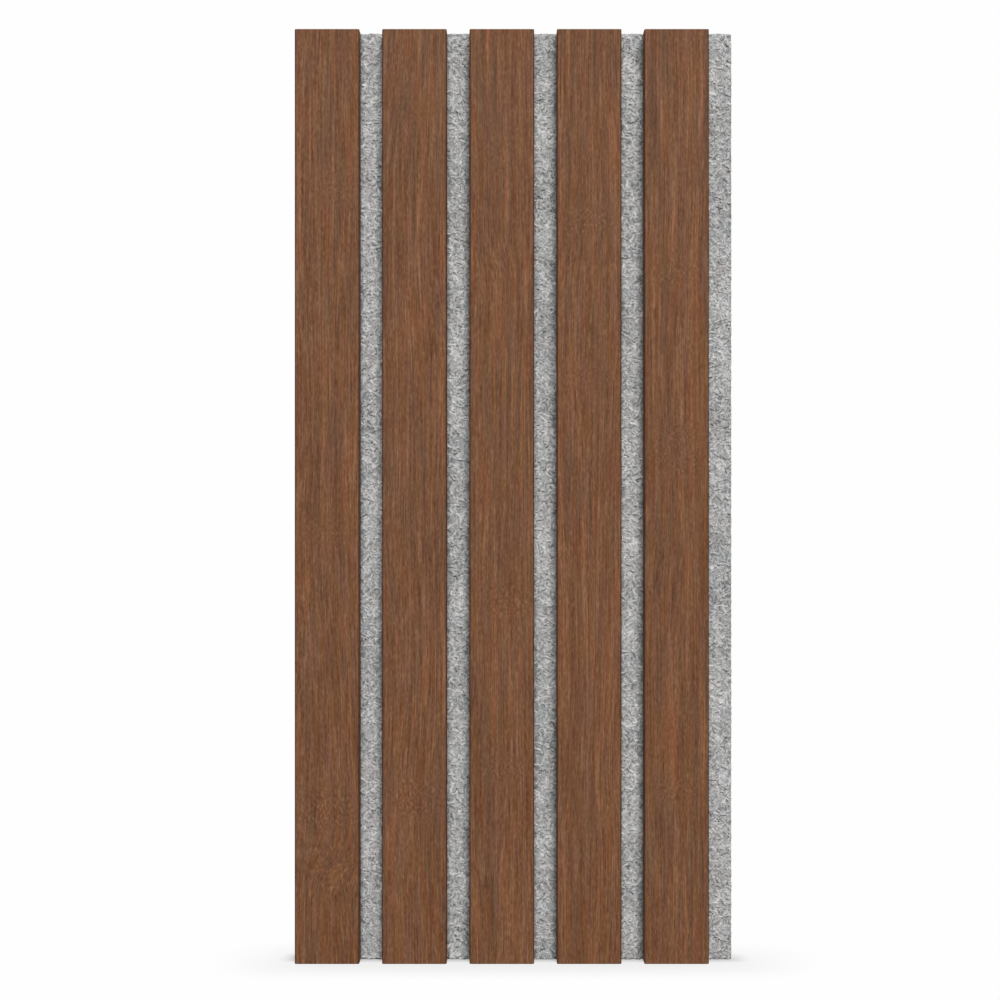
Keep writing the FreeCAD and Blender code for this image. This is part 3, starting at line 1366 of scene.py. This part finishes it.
def seen_directly(node: partial) -> Socket:
    """Tell whether a ray is one that the eye follows: straight, mirrored or through.

    Args:
        node: The function that adds a node.

    Returns:
        1 for such a ray, and 0 for any other.
    """
    path = node("LightPath").node.outputs
    seen = node("Math MAXIMUM", path["Is Camera Ray"], path["Is Glossy Ray"])
    return node("Math MAXIMUM", seen, path["Is Transmission Ray"])


@dataclass(frozen=True)
class FloorPaint(Finish):
    """Matt white floor paint, lit grey paint near the panel and plain white beyond.

    The reaches of the broad and the close shadow are in metres. Within them the floor
    shows real shadow on the grey paint, and painted shade as well, since the grey paint
    is darker than the white beyond even where nothing shades it.
    """

    name: str = "white_floor_paint"
    white: str = "#FEFEFE"
    shade: str = "#C4C4C4"
    bounce: str = "#5A5A5A"
    shadow_reach: float = 0.045
    shadow_share: float = 0.20
    contact_reach: float = 0.010
    contact_share: float = 0.42

    def material(self, layout: PanelLayout) -> bpy.types.Material:
        """Make the paint.

        Args:
            layout: The panel's layout, round which the shadow shows.

        Returns:
            The material.
        """
        material, node, place = self.start()
        clear: Socket | float = 1.0
        # Painted shade round the foot, with the real shadow: within these reaches the lit grey
        # paint shows in place of the plain white.
        for front, reach, share in (
            (layout.front, self.shadow_reach, self.shadow_share),
            (layout.seam, self.contact_reach, self.contact_share),
        ):
            middle = (0.0, (layout.back + front) / 2 / MM, 0.0)
            half = (layout.right / MM, (layout.back - front) / 2 / MM, 1.0)
            away = node("VectorMath SUBTRACT", place, middle)
            away = node("VectorMath ABSOLUTE", away)
            away = node("VectorMath SUBTRACT", away, half)
            away = node("VectorMath MAXIMUM", away, (0.0, 0.0, 0.0))
            far = node("VectorMath LENGTH", away)
            levels = (reach / MM, 0.0, 0.0, share)
            near = node("MapRange", far, *levels, interpolation_type="SMOOTHSTEP")
            clear = node("Math SUBTRACT", clear, near)
        seen = seen_directly(node)
        plain = node("Math MULTIPLY", clear, seen)
        # What the floor throws back at the panel is less than its look would give.
        colour = node("Mix", seen, linear(self.bounce), linear(self.shade), data_type="RGBA")
        paint = node("BsdfDiffuse", colour)
        glow = node("Emission", linear(self.white), 1.0)
        node("OutputMaterial", node("MixShader", plain, paint, glow))
        return material


@dataclass(frozen=True)
class Studio:
    """A plain white studio: a level camera, one large soft lamp, and a floor."""

    layout: PanelLayout
    paint: FloorPaint
    camera_place: tuple[float, float, float] = (-0.00648, -1.1905, 0.2124)
    picture_width: float = 0.4576
    sensor: float = 36.0
    lamp_distance: float = 8.5
    lamp_azimuth: float = 5.5
    lamp_elevation: float = 31.0
    lamp_size: float = 3.4
    lamp_share: float = 0.93
    room_share: float = 0.03
    wall_share: float = 1.45
    wall_span: tuple[float, float] = (-0.1, 0.25)
    floor_size: float = 12.0

    def build(self) -> None:
        """Set up the camera, the light and the floor."""
        self.view_settings()
        self.camera()
        self.lamp()
        self.world()
        self.floor()

    @staticmethod
    def view_settings() -> None:
        """Show colours as they are, with no film look."""
        bpy.context.scene.view_settings.view_transform = "Standard"

    def camera(self) -> None:
        """Stand a level camera where the picture was taken from."""
        data = bpy.data.cameras.new("studio_camera")
        data.sensor_width = self.sensor
        distance = self.layout.front - self.camera_place[1]
        data.lens = self.sensor * distance / self.picture_width
        camera = bpy.data.objects.new("studio_camera", data)
        camera.location = self.camera_place
        camera.rotation_euler = (math.pi / 2, 0.0, 0.0)
        bpy.context.scene.collection.objects.link(camera)
        bpy.context.scene.camera = camera

    def lamp(self) -> None:
        """Hang one large soft lamp in front of the panel, above and to its right."""
        data = bpy.data.lights.new("soft_lamp", "AREA")
        data.shape = "SQUARE"
        data.size = self.lamp_size
        azimuth, elevation = math.radians(self.lamp_azimuth), math.radians(self.lamp_elevation)
        level = math.cos(elevation)
        towards = Vector(
            (math.sin(azimuth) * level, -math.cos(azimuth) * level, math.sin(elevation))
        )
        # The power at which a white surface that faces the room gets this share of the
        # light that shows it as white.
        data.energy = math.pi**2 * self.lamp_distance**2 * self.lamp_share / -towards.y
        lamp = bpy.data.objects.new("soft_lamp", data)
        aim = Vector((0.0, 0.0, self.layout.height / 2))
        lamp.location = aim + towards * self.lamp_distance
        lamp.rotation_euler = (aim - lamp.location).to_track_quat("-Z", "Y").to_euler()
        bpy.context.scene.collection.objects.link(lamp)

    def world(self) -> None:
        """Light the room evenly, and show it white to the camera and in reflections."""
        world = bpy.data.worlds.new("white_studio")
        world.use_nodes = True
        world.node_tree.nodes.clear()
        node = partial(add, world.node_tree)
        direction = node("TexCoord", output="Generated")
        deep = node("SeparateXYZ", direction, output="Y")
        levels = (*self.wall_span, self.room_share, self.wall_share)
        level = node("MapRange", deep, *levels, interpolation_type="SMOOTHSTEP")
        level = node("Mix", seen_directly(node), level, 1.0)
        node("OutputWorld", node("Background", linear(self.paint.white), level))
        bpy.context.scene.world = world

    def floor(self) -> None:
        """Lay a white floor that shows only the shadow close to the panel's foot."""
        mesh = bpy.data.meshes.new("studio_floor")
        half = self.floor_size / 2
        ends = [(x * half, y * half, 0.0) for x, y in ((-1, -1), (1, -1), (1, 1), (-1, 1))]
        mesh.from_pydata(ends, [], [(0, 1, 2, 3)])
        floor = bpy.data.objects.new("studio_floor", mesh)
        bpy.context.scene.collection.objects.link(floor)
        mesh.materials.append(self.paint.material(self.layout))


def corners(box: tuple[Vector, Vector]) -> list[list[float]]:
    """Turn a box's lowest and highest corners into plain lists."""
    return [list(corner) for corner in box]


def main() -> None:
    """Build the panel's pieces in order, then the studio round them."""
    logging.basicConfig(level=logging.INFO, format="%(name)s: %(message)s")
    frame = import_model()
    layout = PanelLayout.from_frame(frame["nodes"])

    felt_finish = PolyesterFelt()
    felt = felt_finish.material()
    veneer = WalnutVeneer().material(layout, FIGURES)
    slats = SlatRow(layout, veneer, SawnFibreboard().material())
    staples = StapleRows(layout, GalvanisedWire().material())
    sheet = FeltSheet(layout, staples, felt, felt_finish)
    fibres = LooseFibres(layout, sheet, felt, felt_finish)
    for assembly in (slats, staples, sheet, fibres):
        assembly.build()
        assembly.report()
    sheet.declare(slats.pieces, fibres.pieces)
    Studio(layout, FloorPaint()).build()


if __name__ == "__main__":
    main()
